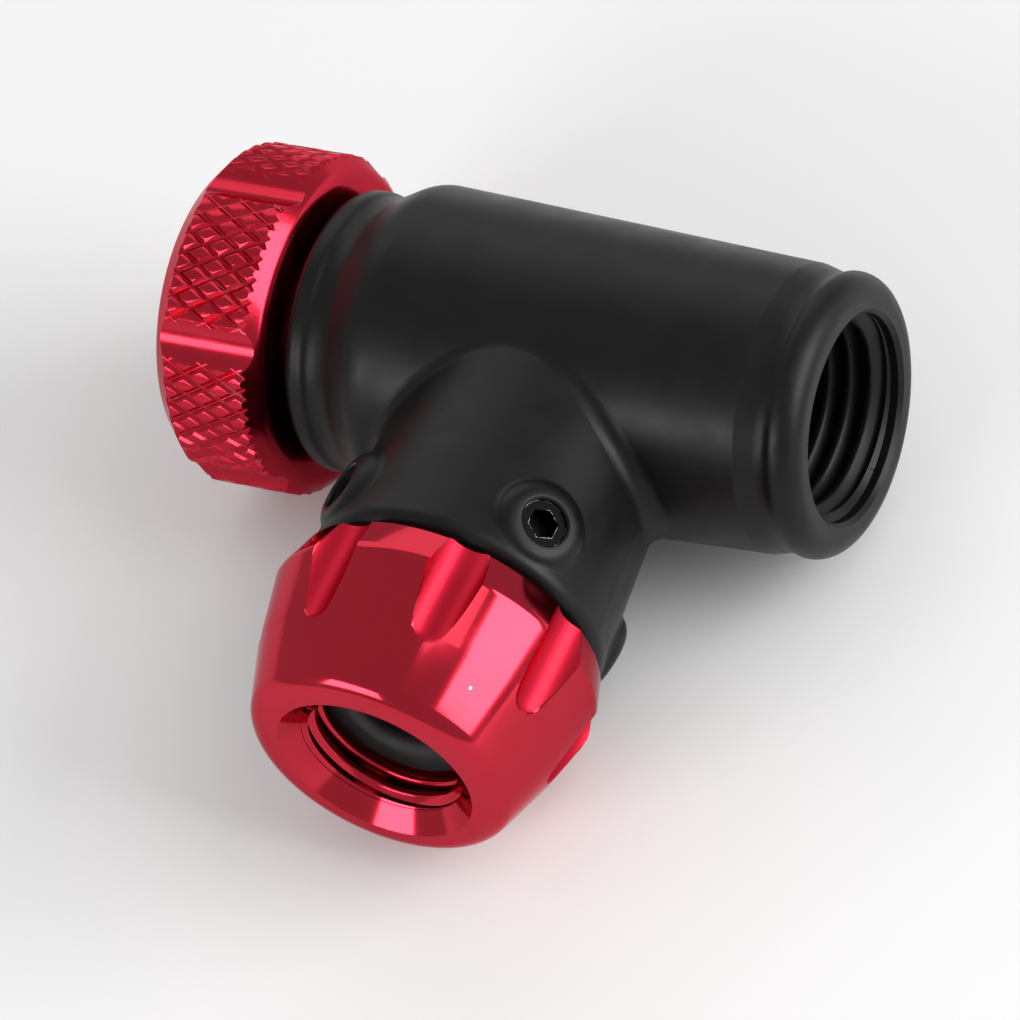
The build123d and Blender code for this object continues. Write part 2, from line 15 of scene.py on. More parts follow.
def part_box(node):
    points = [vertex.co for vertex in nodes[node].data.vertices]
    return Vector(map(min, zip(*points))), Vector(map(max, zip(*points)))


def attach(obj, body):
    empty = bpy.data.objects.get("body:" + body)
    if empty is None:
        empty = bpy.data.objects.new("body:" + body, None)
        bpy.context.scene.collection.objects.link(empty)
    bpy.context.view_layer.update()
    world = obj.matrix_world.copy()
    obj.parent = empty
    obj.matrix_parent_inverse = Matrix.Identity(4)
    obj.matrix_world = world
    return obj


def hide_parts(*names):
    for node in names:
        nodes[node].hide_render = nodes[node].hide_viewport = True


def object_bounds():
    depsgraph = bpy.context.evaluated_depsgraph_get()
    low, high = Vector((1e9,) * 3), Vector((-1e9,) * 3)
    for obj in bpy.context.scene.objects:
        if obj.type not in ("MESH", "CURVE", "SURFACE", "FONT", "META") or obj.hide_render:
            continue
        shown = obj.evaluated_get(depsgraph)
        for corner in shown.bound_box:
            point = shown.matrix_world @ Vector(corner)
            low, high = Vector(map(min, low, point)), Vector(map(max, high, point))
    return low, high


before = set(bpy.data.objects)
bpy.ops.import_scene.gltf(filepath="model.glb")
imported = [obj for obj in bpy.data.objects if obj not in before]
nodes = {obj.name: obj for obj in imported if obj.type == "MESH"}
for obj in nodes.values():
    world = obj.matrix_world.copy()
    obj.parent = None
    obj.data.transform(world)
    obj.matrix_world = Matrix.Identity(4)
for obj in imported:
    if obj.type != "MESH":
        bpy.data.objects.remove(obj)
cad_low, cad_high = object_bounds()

mm = 0.001
branch_x = -13.9 * mm

# The chuck's turned outline: depths down the branch, and radii around it
chuck_top, top_radius = 14.95 * mm, 7.4 * mm
crest_depth, crest_radius = 16.65 * mm, 7.92 * mm
waist_depth, waist_radius = 19.5 * mm, 7.29 * mm
mouth_depth, mouth_corner_radius = 23.25 * mm, 6.08 * mm
print(f"{len(nodes)} CAD nodes, box {(cad_high - cad_low) * 1000}")

# %% [markdown]
# ## Camera
# A small product is best seen through a long lens from far off, which keeps the barrel's sides
# nearly parallel. The camera is placed by its azimuth, elevation and roll around an aim
# point, so each angle can be read and changed by itself.

# %% Camera
camera_azimuth = radians(41.43)
camera_elevation = radians(48.29)
camera_roll = radians(-22.81)
camera_distance = 0.35
aim_point = Vector((-15.60, -6.18, -3.13)) * mm

towards_camera = Vector((
    sin(camera_azimuth) * cos(camera_elevation),
    -cos(camera_azimuth) * cos(camera_elevation),
    sin(camera_elevation),
))
camera_data = bpy.data.cameras.new("camera")
camera_data.lens = 270.16
camera_data.sensor_width = 36
camera = bpy.data.objects.new("camera", camera_data)
bpy.context.scene.collection.objects.link(camera)
turn = towards_camera.to_track_quat("Z", "Y").to_matrix() @ Matrix.Rotation(camera_roll, 3, "Z")
camera.matrix_world = Matrix.Translation(aim_point + camera_distance * towards_camera) @ turn.to_4x4()
bpy.context.scene.camera = camera
bpy.context.scene.view_settings.view_transform = "Standard"
print("camera looks along", -towards_camera)

# %% [markdown]
# ## Floor
# The head lies on a white sheet. One large plane just under the lowest point is enough, and
# its paper is nearly white so that it throws light up under the barrel.

# %% Floor
bpy.ops.object.select_all(action="DESELECT")
bpy.ops.mesh.primitive_plane_add(size=4, location=(0, 0, cad_low.z))
floor = bpy.context.object
floor.name = "floor"
floor_paper = bpy.data.materials.new("white paper")
floor_paper.use_nodes = True
floor_paper.node_tree.nodes["Principled BSDF"].inputs["Base Color"].default_value = (0.80, 0.80, 0.80, 1)
floor_paper.node_tree.nodes["Principled BSDF"].inputs["Roughness"].default_value = 0.9
floor.data.materials.append(floor_paper)

# %% [markdown]
# ## Light
# Polished red metal only looks like metal when it mirrors something with an edge. One tall
# softbox on the right gives the crisp pale window on the chuck. A lower one on the left
# draws the bright lines on the knob and in the mouth, and one behind lifts the barrel's
# top. An even grey surround fills the rest.

# %% Lights
object_middle = (cad_low + cad_high) / 2


def direction(azimuth, elevation):
    """Unit vector, with azimuth counted from +X towards +Y and elevation up from the floor, in degrees."""
    a, e = radians(azimuth), radians(elevation)
    return Vector((cos(a) * cos(e), sin(a) * cos(e), sin(e)))


def softbox(name, azimuth, elevation, distance, width, height, radiance):
    """A rectangular light that faces the object. Its power follows from how bright it should look."""
    data = bpy.data.lights.new(name, "AREA")
    data.shape = "RECTANGLE"
    data.size, data.size_y = width, height
    data.energy = radiance * width * height * pi
    light = bpy.data.objects.new(name, data)
    bpy.context.scene.collection.objects.link(light)
    out = direction(azimuth, elevation)
    facing = out.to_track_quat("Z", "Y").to_matrix()
    light.matrix_world = Matrix.Translation(object_middle + distance * out) @ facing.to_4x4()
    print(f"{name}: {width:.2f} x {height:.2f} m at {distance:.2f} m, radiance {radiance}")
    return light


softbox("right softbox", azimuth=11, elevation=23.5, distance=0.5, width=0.39, height=0.31, radiance=7.0)
softbox("upper fill", azimuth=8, elevation=58, distance=0.5, width=0.22, height=0.20, radiance=2.0)
softbox("left softbox", azimuth=-111, elevation=24, distance=0.5, width=0.28, height=0.17, radiance=6.5)
softbox("back softbox", azimuth=120, elevation=36, distance=0.5, width=0.5, height=0.3, radiance=0.9)
world = bpy.data.worlds.new("studio")
world.use_nodes = True
world.node_tree.nodes["Background"].inputs["Color"].default_value = (0.50, 0.50, 0.50, 1)
world.node_tree.nodes["Background"].inputs["Strength"].default_value = 1.0
bpy.context.scene.world = world

# %% [markdown]
# ## Shared effects
# Some marks turn up on several finishes, so each is a node group that is built once. A
# group only puts out masks and heights. The shader that uses them stays in the material.

# %% Helpers for node groups


def new_group(name, inputs, outputs):
    """A shader node group with float inputs (name: default) and float outputs."""
    group = bpy.data.node_groups.new(name, "ShaderNodeTree")
    for label, default in inputs.items():
        socket = group.interface.new_socket(label, in_out="INPUT", socket_type="NodeSocketFloat")
        socket.default_value = default
    for label in outputs:
        group.interface.new_socket(label, in_out="OUTPUT", socket_type="NodeSocketFloat")
    return group, group.nodes.new("NodeGroupInput"), group.nodes.new("NodeGroupOutput")


def add(tree, kind, links=None, **settings):
    """Adds a node, sets its properties, and fills its inputs with values or links."""
    node = tree.nodes.new(kind)
    for label, value in settings.items():
        setattr(node, label, value)
    for label, value in (links or {}).items():
        if isinstance(value, bpy.types.NodeSocket):
            tree.links.new(value, node.inputs[label])
        else:
            node.inputs[label].default_value = value
    return node


def spread(tree, value, low, high, new_low=0.0, new_high=1.0):
    """Stretches the part of value from low to high over a new range, and clamps it."""
    links = {"Value": value, "From Min": low, "From Max": high, "To Min": new_low, "To Max": new_high}
    return add(tree, "ShaderNodeMapRange", links, interpolation_type="SMOOTHSTEP").outputs["Result"]


def calculate(tree, operation, first, second=0.0):
    """One sum of two values or sockets."""
    return add(tree, "ShaderNodeMath", {0: first, 1: second}, operation=operation).outputs[0]


# %% [markdown]
# Blasted and coated metal has a fine, even grain. A noise much smaller than a millimetre
# gives its height, and a larger, weaker one stops it from looking like wallpaper.

# %% Grain group
grain, inside, outside = new_group("grain", {"Size mm": 0.12}, ["Height", "Mottle"])
place = add(grain, "ShaderNodeTexCoord").outputs["Object"]
per_metre = calculate(grain, "DIVIDE", 1000.0, inside.outputs["Size mm"])
fine_inputs = {"Vector": place, "Scale": per_metre, "Detail": 3.0, "Roughness": 0.6}
fine = add(grain, "ShaderNodeTexNoise", fine_inputs)
broad_scale = calculate(grain, "DIVIDE", per_metre, 18.0)
broad = add(grain, "ShaderNodeTexNoise", {"Vector": place, "Scale": broad_scale, "Detail": 2.0})
grain.links.new(fine.outputs["Fac"], outside.inputs["Height"])
grain.links.new(broad.outputs["Fac"], outside.inputs["Mottle"])

# %% [markdown]
# Lint and dust settle as a few bright points. The cells of a Voronoi texture each get a
# random number, only the rare high ones are kept, and a small disc is drawn in them.

# %% Dust group
dust, inside, outside = new_group("dust", {"Cell mm": 1.0, "Radius": 0.06, "Share": 0.1}, ["Mask"])
place = add(dust, "ShaderNodeTexCoord").outputs["Object"]
per_metre = calculate(dust, "DIVIDE", 1000.0, inside.outputs["Cell mm"])
cells = add(dust, "ShaderNodeTexVoronoi", {"Vector": place, "Scale": per_metre})
luck = add(dust, "ShaderNodeSeparateColor", {"Color": cells.outputs["Color"]})
chosen = calculate(dust, "LESS_THAN", luck.outputs["Red"], inside.outputs["Share"])
speck_radius = calculate(dust, "MULTIPLY", luck.outputs["Green"], inside.outputs["Radius"])
disc = calculate(dust, "LESS_THAN", cells.outputs["Distance"], speck_radius)
dust.links.new(calculate(dust, "MULTIPLY", chosen, disc), outside.inputs["Mask"])

# %% [markdown]
# Handling rubs the colour off corners first, and corners catch highlights, so this corner mask
# carries both real wear and painted highlight. The Bevel node bends the normal near an edge,
# so where it differs from the true normal there is a corner, and noise breaks that up.

# %% Wear and painted highlight group
wear_and_highlight, inside, outside = new_group("edge wear and highlight", {"Width mm": 0.06, "Amount": 0.5, "Patch mm": 1.2}, ["Mask"])
edge_mask_width = calculate(wear_and_highlight, "DIVIDE", inside.outputs["Width mm"], 1000.0)
bent = add(wear_and_highlight, "ShaderNodeBevel", {"Radius": edge_mask_width}, samples=4)
true_normal = add(wear_and_highlight, "ShaderNodeNewGeometry").outputs["Normal"]
alike = add(
    wear_and_highlight, "ShaderNodeVectorMath", {0: bent.outputs["Normal"], 1: true_normal}, operation="DOT_PRODUCT"
).outputs["Value"]
corner = spread(wear_and_highlight, calculate(wear_and_highlight, "SUBTRACT", 1.0, alike), 0.02, 0.12)
place = add(wear_and_highlight, "ShaderNodeTexCoord").outputs["Object"]
patch_scale = calculate(wear_and_highlight, "DIVIDE", 1000.0, inside.outputs["Patch mm"])
patch_inputs = {"Vector": place, "Scale": patch_scale, "Detail": 4.0, "Roughness": 0.7}
patches = add(wear_and_highlight, "ShaderNodeTexNoise", patch_inputs)
limit = calculate(wear_and_highlight, "SUBTRACT", 1.0, inside.outputs["Amount"])
# Corners kept by the noise: real wear on some finishes, painted highlight on others.
worn_and_lit = spread(wear_and_highlight, calculate(wear_and_highlight, "SUBTRACT", patches.outputs["Fac"], limit), 0.0, 0.06)
wear_and_highlight.links.new(calculate(wear_and_highlight, "MULTIPLY", corner, worn_and_lit), outside.inputs["Mask"])

# %% [markdown]
# The chuck's flutes are milled after it is polished, so they are satin. A point lies in a
# flute when it is nearer to the branch's axis than the turned outline is at that depth. The
# outline is the lowest of three straight lines, one for each side of its crest and waist.

# %% Milled flutes group
milled, inside, outside = new_group("milled flutes", {}, ["Mask"])
place = add(milled, "ShaderNodeTexCoord").outputs["Object"]
parts = add(milled, "ShaderNodeSeparateXYZ", {"Vector": place})
sideways = calculate(milled, "SUBTRACT", parts.outputs["X"], branch_x)
sideways_squared = calculate(milled, "POWER", sideways, 2.0)
height_squared = calculate(milled, "POWER", parts.outputs["Z"], 2.0)
from_axis = calculate(milled, "SQRT", calculate(milled, "ADD", sideways_squared, height_squared))
depth = calculate(milled, "MULTIPLY", parts.outputs["Y"], -1.0)
corners = [
    (chuck_top, top_radius),
    (crest_depth, crest_radius),
    (waist_depth, waist_radius),
    (mouth_depth, mouth_corner_radius),
]
outline = 1.0
for (start, start_radius), (end, end_radius) in zip(corners, corners[1:]):
    slope = (end_radius - start_radius) / (end - start)
    further = calculate(milled, "MULTIPLY", calculate(milled, "SUBTRACT", depth, start), slope)
    outline = calculate(milled, "MINIMUM", outline, calculate(milled, "ADD", further, start_radius))
below_outline = calculate(milled, "SUBTRACT", outline, from_axis)
sunk = spread(milled, below_outline, 0.03 * mm, 0.09 * mm)
outside_bore = calculate(milled, "GREATER_THAN", from_axis, 6.5 * mm)
above_mouth = calculate(milled, "LESS_THAN", depth, 20.6 * mm)
on_flutes = calculate(milled, "MULTIPLY", outside_bore, above_mouth)
milled.links.new(calculate(milled, "MULTIPLY", sunk, on_flutes), outside.inputs["Mask"])

# %% [markdown]
# ## Finishes
# Each finish starts as a Principled shader with its own constants. Then the groups are
# placed in it with values that suit this metal or rubber.

# %% Helpers for materials


def new_finish(name, **constants):
    """A material with one Principled shader, whose constant inputs are given by name."""
    material = bpy.data.materials.new(name)
    material.use_nodes = True
    shader = material.node_tree.nodes["Principled BSDF"]
    for label, value in constants.items():
        shader.inputs[label.replace("_", " ")].default_value = value
    return material, material.node_tree, shader


def use(tree, group, **values):
    """Places a node group in a material and sets its inputs."""
    node = tree.nodes.new("ShaderNodeGroup")
    node.node_tree = group
    for label, value in values.items():
        node.inputs[label.replace("_", " ")].default_value = value
    return node


def blend_colours(tree, mask, first, second):
    """First colour where the mask is 0 and second where it is 1. Either may be a socket."""
    mix = tree.nodes.new("ShaderNodeMix")
    mix.data_type = "RGBA"
    tree.links.new(mask, mix.inputs["Factor"])
    for label, value in (("A", first), ("B", second)):
        socket = [s for s in mix.inputs if s.name == label and s.type == "RGBA"][0]
        if isinstance(value, bpy.types.NodeSocket):
            tree.links.new(value, socket)
        else:
            socket.default_value = value
    return [s for s in mix.outputs if s.type == "RGBA"][0]


def bump(tree, shader, height, depth_mm, strength=1.0):
    """Bends the shader's normal by a height from 0 to 1 that stands for a depth in millimetres."""
    node = add(tree, "ShaderNodeBump", {"Height": height, "Distance": depth_mm * mm, "Strength": strength})
    tree.links.new(node.outputs["Normal"], shader.inputs["Normal"])
    return node


# %% [markdown]
# ### Black coat
# The housing is cast aluminium under a thin matte black coat. The coat is not flat black:
# its grain catches light, which makes a soft sheen along the barrel, and dust shows on it.

# %% Black coat
coat_black = (0.0030, 0.0030, 0.0032, 1)
coat_grey = (0.0050, 0.0050, 0.0052, 1)
dust_white = (0.55, 0.54, 0.52, 1)
black_coat, tree, shader = new_finish("black coat")
shader.inputs["Specular IOR Level"].default_value = 0.21
surface = use(tree, grain, Size_mm=0.10)
mottled = blend_colours(tree, surface.outputs["Mottle"], coat_black, coat_grey)
specks = use(tree, dust, Cell_mm=1.6, Radius=0.045, Share=0.10)
tree.links.new(blend_colours(tree, specks.outputs["Mask"], mottled, dust_white), shader.inputs["Base Color"])
tree.links.new(spread(tree, surface.outputs["Mottle"], 0.3, 0.7, 0.36, 0.44), shader.inputs["Roughness"])
bump(tree, shader, surface.outputs["Height"], 0.004)

# %% [markdown]
# ### Red anodised aluminium
# Anodising is a clear dyed layer on polished metal. The red belongs to the metal's mirror
# reflection, and a thin clear coat adds the white edge that the layer's own surface gives.
# The chuck is smooth, and its mouth has picked up a few nicks down to bare metal.

# %% Red chuck
anodised_red = (0.56, 0.016, 0.040, 1)
anodised_deep = (0.47, 0.011, 0.028, 1)
bare_metal = (0.80, 0.74, 0.74, 1)
red_edge = (0.80, 0.40, 0.44, 1)
polished_coat, satin_coat = 0.30, 0.05
satin_roughness = 0.26
red_chuck, tree, shader = new_finish("red anodised, polished", Metallic=1.0, Coat_Roughness=0.04)
shader.inputs["Specular Tint"].default_value = red_edge
surface = use(tree, grain, Size_mm=0.22)
dyed = blend_colours(tree, surface.outputs["Mottle"], anodised_deep, anodised_red)
nicks = use(tree, dust, Cell_mm=0.8, Radius=0.09, Share=0.05)
tree.links.new(blend_colours(tree, nicks.outputs["Mask"], dyed, bare_metal), shader.inputs["Base Color"])
polished = spread(tree, surface.outputs["Mottle"], 0.3, 0.7, 0.10, 0.14)
satin = use(tree, milled).outputs["Mask"]
milled_roughness = calculate(tree, "MULTIPLY", satin, satin_roughness)
tree.links.new(calculate(tree, "ADD", polished, milled_roughness), shader.inputs["Roughness"])
tree.links.new(spread(tree, satin, 0.0, 1.0, polished_coat, satin_coat), shader.inputs["Coat Weight"])
bump(tree, shader, surface.outputs["Height"], 0.0004)

# %% [markdown]
# The knob's finish is the same dye over a cut surface, so it is a little rougher. The
# points of its knurl and the rims of its flutes are pale: partly real rubbing, partly a
# painted highlight on every corner.

# %% Red knob
# Pale red on the corners: partly rubbed dye, partly painted highlight.
rubbed_and_highlight_red = (0.80, 0.26, 0.32, 1)
red_knob, tree, shader = new_finish(
    "red anodised, knurled", Metallic=1.0, Coat_Weight=0.22, Coat_Roughness=0.08
)
shader.inputs["Specular Tint"].default_value = red_edge
surface = use(tree, grain, Size_mm=0.14)
dyed = blend_colours(tree, surface.outputs["Mottle"], anodised_deep, anodised_red)
# Corner mask for the pale red: real rubbing and painted highlight.
rubbed_and_lit = use(tree, wear_and_highlight, Width_mm=0.05, Amount=0.44, Patch_mm=1.4)
rubbed_and_lit_colour = blend_colours(tree, rubbed_and_lit.outputs["Mask"], dyed, rubbed_and_highlight_red)
tree.links.new(rubbed_and_lit_colour, shader.inputs["Base Color"])
tree.links.new(spread(tree, surface.outputs["Mottle"], 0.3, 0.7, 0.16, 0.26), shader.inputs["Roughness"])
bump(tree, shader, surface.outputs["Height"], 0.003)

# %% [markdown]
# ### Bare metals, nylon and rubber
# These are mostly seen inside the ports. They share one recipe: two close colours mottled
# by the grain, a roughness that wanders a little, and a shallow grain in relief.

# %% Small parts' finishes


def mottled_finish(name, dark, light, roughness, metallic=0.0, grain_mm=0.1, relief_mm=0.002):
    """A plain finish whose colour and roughness wander with the grain."""
    material, tree, shader = new_finish(name, Metallic=metallic)
    surface = use(tree, grain, Size_mm=grain_mm)
    colour = blend_colours(tree, surface.outputs["Mottle"], (*dark, 1), (*light, 1))
    tree.links.new(colour, shader.inputs["Base Color"])
    rough = spread(tree, surface.outputs["Mottle"], 0.3, 0.7, roughness * 0.8, roughness * 1.2)
    tree.links.new(rough, shader.inputs["Roughness"])
    bump(tree, shader, surface.outputs["Height"], relief_mm)
    return material


turned_brass = mottled_finish(
    "turned brass", (0.62, 0.42, 0.16), (0.75, 0.55, 0.24), metallic=1.0, roughness=0.3
)
hard_steel = mottled_finish(
    "hard steel", (0.42, 0.42, 0.43), (0.6, 0.6, 0.6), metallic=1.0, roughness=0.25
)
screw_steel = mottled_finish(
    "plated screw steel", (0.5, 0.49, 0.47), (0.72, 0.7, 0.67), metallic=1.0, roughness=0.22
)
nylon = mottled_finish(
    "natural nylon", (0.72, 0.69, 0.6), (0.8, 0.78, 0.7), roughness=0.45, grain_mm=0.2, relief_mm=0.003
)
seal_rubber = mottled_finish(
    "seal rubber", (0.012,) * 3, (0.022,) * 3, roughness=0.45, grain_mm=0.15, relief_mm=0.004
)
gasket_rubber = mottled_finish(
    "gasket rubber", (0.008,) * 3, (0.016,) * 3, roughness=0.6, grain_mm=0.2, relief_mm=0.006
)

# %% [markdown]
# The grub screws are blackened steel. The rims of their sockets get bright steel along
# their edges, a painted highlight, which is all that shows of them down in their holes.

# %% Blackened screws
blackened = (0.006, 0.006, 0.006, 1)
# Bright steel for the socket rims: a painted highlight.
highlight_steel = (0.62, 0.60, 0.55, 1)
blackened_screw, tree, shader = new_finish("blackened screw steel", Metallic=1.0, Roughness=0.5)
# The corner mask lays the painted highlight on the socket rims.
rubbed_and_lit = use(tree, wear_and_highlight, Width_mm=0.03, Amount=0.52, Patch_mm=0.8)
rim_highlight_colour = blend_colours(tree, rubbed_and_lit.outputs["Mask"], blackened, highlight_steel)
tree.links.new(rim_highlight_colour, shader.inputs["Base Color"])
surface = use(tree, grain, Size_mm=0.08)
bump(tree, shader, surface.outputs["Height"], 0.002)

# %% [markdown]
# Every CAD node now gets the finish of its material. The node's mesh isn't touched: only
# its material slots change.

# %% Finish of each CAD node
finish_of = {
    "housing": black_coat,
    "pin_holder": turned_brass,
    "piercing_pin": hard_steel,
    "holder_oring": seal_rubber,
    "cartridge_seal": seal_rubber,
    "valve_seat": nylon,
    "bonnet": turned_brass,
    "bonnet_oring": seal_rubber,
    "grub_screws": blackened_screw,
    "stem": turned_brass,
    "stem_oring": seal_rubber,
    "stem_tip": nylon,
    "knob": red_knob,
    "knob_washer": screw_steel,
    "knob_screw": screw_steel,
    "chuck": red_chuck,
    "chuck_oring": seal_rubber,
    "depressor": turned_brass,
    "gasket_washer": turned_brass,
    "valve_gasket": gasket_rubber,
}
for name, node in nodes.items():
    node.data.materials.clear()
    node.data.materials.append(finish_of[name])
print("finished nodes:", len(finish_of))

# %% [markdown]
# ## Tools for new pieces
# The knurl and the threads are too fine for the CAD part, and the chuck's polish needs more
# sides than it has. So they are made here by hand: a primitive in place, shaped in edit
# mode, then cut as a machinist would cut it. These helpers keep the selection in order.

# %% Helpers for modelling
small = 0.01 * mm


def deselect_all():
    """Nothing selected and nothing in edit mode, so that an operator can't touch another piece."""
    if bpy.context.mode != "OBJECT":
        bpy.ops.object.mode_set(mode="OBJECT")
    bpy.ops.object.select_all(action="DESELECT")


def pick(piece, mode, wanted):
    """In edit mode, selects the vertices, edges or faces for which wanted(element) is true."""
    bpy.ops.mesh.select_mode(type=mode)
    bpy.ops.mesh.select_all(action="DESELECT")
    mesh = bmesh.from_edit_mesh(piece.data)
    for element in {"VERT": mesh.verts, "EDGE": mesh.edges, "FACE": mesh.faces}[mode]:
        element.select_set(bool(wanted(element)))
    bmesh.update_edit_mesh(piece.data)


def at_x(element, x):
    """True if all of an edge or face lies in the plane across the barrel at x."""
    return all(abs(vertex.co.x - x) < small for vertex in element.verts)


def bar_along_x(name, radius, x_from, x_to, sides, centre=(0, 0), end_radius=None):
    """A round bar or cone along X, with its place in its mesh. Centre is its Y and Z."""
    deselect_all()
    bpy.ops.mesh.primitive_cone_add(
        vertices=sides,
        radius1=radius,
        radius2=radius if end_radius is None else end_radius,
        depth=x_to - x_from,
        location=((x_from + x_to) / 2, *centre),
        rotation=(0, pi / 2, 0),
    )
    piece = bpy.context.object
    piece.name = name
    bpy.ops.object.transform_apply(location=True, rotation=True, scale=True)
    return piece


def combine(piece, tool, operation):
    """Cuts the tool from the piece, or keeps what they share, and throws the tool away."""
    deselect_all()
    bpy.context.view_layer.objects.active = piece
    piece.select_set(True)
    modifier = piece.modifiers.new("cut", "BOOLEAN")
    modifier.operation = operation
    modifier.solver = "EXACT"
    modifier.object = tool
    bpy.ops.object.modifier_apply(modifier=modifier.name)
    bpy.data.objects.remove(tool)


def keep_side(piece, point, outward):
    """Cuts a closed piece at a plane, throws away what lies outward, and closes the cut."""
    bpy.context.view_layer.objects.active = piece
    piece.select_set(True)
    bpy.ops.object.mode_set(mode="EDIT")
    bpy.ops.mesh.select_all(action="SELECT")
    bpy.ops.mesh.bisect(plane_co=point, plane_no=outward, clear_outer=True, use_fill=True)
    bpy.ops.object.mode_set(mode="OBJECT")


def hang_on_branch(piece):
    """Turns a piece made along X so that it points down the branch, and keeps that in its mesh."""
    deselect_all()
    piece.rotation_euler = (0, 0, -pi / 2)
    piece.location = (branch_x, 0, 0)
    piece.select_set(True)
    bpy.context.view_layer.objects.active = piece
    bpy.ops.object.transform_apply(location=True, rotation=True, scale=True)


def dress(piece, material, body, corner):
    """Shades a finished piece, with corners sharper than an angle kept, and puts it on its body."""
    deselect_all()
    bpy.context.view_layer.objects.active = piece
    piece.select_set(True)
    bpy.ops.object.shade_smooth_by_angle(angle=radians(corner))
    deselect_all()
    piece.data.materials.clear()
    piece.data.materials.append(material)
    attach(piece, body)
    print(f"{piece.name}: {len(piece.data.polygons)} faces")


# %% [markdown]
# ## Knurled knob
# The knob is turned from bar, knurled between two rollers, chamfered, and then milled with
# six finger flutes. Here the blank is turned first: a cylinder gets its two chamfers by
# bevel, and its outer face is inset and pushed in for the dish and the screw's counterbore.

# %% Knob blank
knob_low, knob_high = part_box("knob")
knob_radius = 8.03 * mm
front_chamfer = 0.75 * mm
front_round = 0.35 * mm
back_chamfer = 0.95 * mm
dish_radius = 5.2 * mm
dish_depth = 0.6 * mm
counterbore_radius = 3.25 * mm
counterbore_depth = 1.0 * mm

knob = bar_along_x("knurled_knob", knob_radius, knob_low.x, knob_high.x, sides=240)
bpy.ops.object.mode_set(mode="EDIT")
for rim_x, chamfer_size in ((knob_high.x, front_chamfer), (knob_low.x, back_chamfer)):
    pick(knob, "EDGE", lambda edge: at_x(edge, rim_x))
    bpy.ops.mesh.bevel(offset=chamfer_size, segments=1)
pick(knob, "EDGE", lambda edge: at_x(edge, knob_high.x))
bpy.ops.mesh.bevel(offset=front_round, segments=5)
floor_x = knob_low.x
floor_radius = knob_radius - back_chamfer
for ring_radius, depth in ((dish_radius, dish_depth), (counterbore_radius, counterbore_depth)):
    pick(knob, "FACE", lambda face: len(face.verts) > 4 and at_x(face, floor_x))
    bpy.ops.mesh.inset(thickness=floor_radius - ring_radius)
    bpy.ops.mesh.extrude_region_move(TRANSFORM_OT_translate={"value": (depth, 0, 0)})
    floor_x += depth
    floor_radius = ring_radius
bpy.ops.object.mode_set(mode="OBJECT")
print("knob blank:", len(knob.data.polygons), "faces")

# %% [markdown]
# The knurling rollers leave crossed grooves at 30 degrees to the axis, so the skin is a net
# of diamonds. A cylinder of tall quads is poked, which puts a point in the middle of each
# quad, and then the old edges are dissolved. What is left is diamonds. Each is inset
# and raised, which makes flat tops with sloping sides and a narrow groove between.

# %% Knurled bar
knurl_lines = 48
knurl_depth = 0.17 * mm
knurl_slope = 0.17 * mm
groove_half_width = 0.03 * mm
knurl_roundness = 0.05 * mm
roller_wobble = 0.015 * mm
knurl_pitch = 2 * pi * knob_radius / knurl_lines
diamond_length = knurl_pitch * cos(radians(30)) / sin(radians(30))
knurl_rows = int((knob_high.x - knob_low.x) / diamond_length) + 2
knurl_start = (knob_low.x + knob_high.x - knurl_rows * diamond_length) / 2
knurl_end = knurl_start + knurl_rows * diamond_length

knurled_bar = bar_along_x(
    "knurled bar", knob_radius - knurl_depth, knurl_start, knurl_start + diamond_length, knurl_lines
)
bpy.ops.object.mode_set(mode="EDIT")
for row in range(1, knurl_rows):
    row_x = knurl_start + row * diamond_length
    pick(knurled_bar, "FACE", lambda face: len(face.verts) > 4 and at_x(face, row_x))
    bpy.ops.mesh.extrude_region_move(TRANSFORM_OT_translate={"value": (diamond_length, 0, 0)})
pick(knurled_bar, "FACE", lambda face: len(face.verts) == 4)
bpy.ops.mesh.poke()


def is_row_corner(vertex):
    """True for a corner of the old quads, which all stand at a whole number of rows."""
    rows = (vertex.co.x - knurl_start) / diamond_length
    return abs(rows - round(rows)) < 0.01


def is_old_edge(edge):
    """True for an edge of the old quads, apart from the rims of the two ends."""
    return all(map(is_row_corner, edge.verts)) and not at_x(edge, knurl_start) and not at_x(edge, knurl_end)


pick(knurled_bar, "VERT", lambda vertex: not is_row_corner(vertex))
out_to_circle = 1 / cos(pi / knurl_lines)
bpy.ops.transform.resize(value=(1, out_to_circle, out_to_circle), center_override=(0, 0, 0))
pick(knurled_bar, "EDGE", is_old_edge)
bpy.ops.mesh.dissolve_edges(use_verts=False)
pick(knurled_bar, "FACE", lambda face: len(face.verts) == 4)
bpy.ops.mesh.inset(thickness=groove_half_width, use_individual=True)
bpy.ops.mesh.inset(thickness=knurl_slope, depth=knurl_depth, use_individual=True)
diamonds = sum(face.select for face in bmesh.from_edit_mesh(knurled_bar.data).faces)
bpy.ops.transform.vertex_random(offset=roller_wobble, seed=3)
bpy.ops.mesh.bevel(offset=knurl_roundness, segments=2)
bpy.ops.object.mode_set(mode="OBJECT")
print(f"{diamonds} diamonds, {knurl_pitch * 1000:.2f} by {diamond_length * 1000:.2f} mm")

# %% [markdown]
# The six flutes are cut with round cutters, and the hole for the stem's flats goes through.
# The knurl comes last: what the blank and the knurled bar share is the finished knob. That
# way only one cut has to deal with the diamonds' hundreds of small faces.

# %% Knob, cut
flute_count = 6
first_flute = radians(79)
flute_radius = 1.6 * mm
flute_depth = 0.46 * mm
stem_hole_radius = 2.42 * mm
stem_flats = 4.04 * mm
overrun = 1.0 * mm

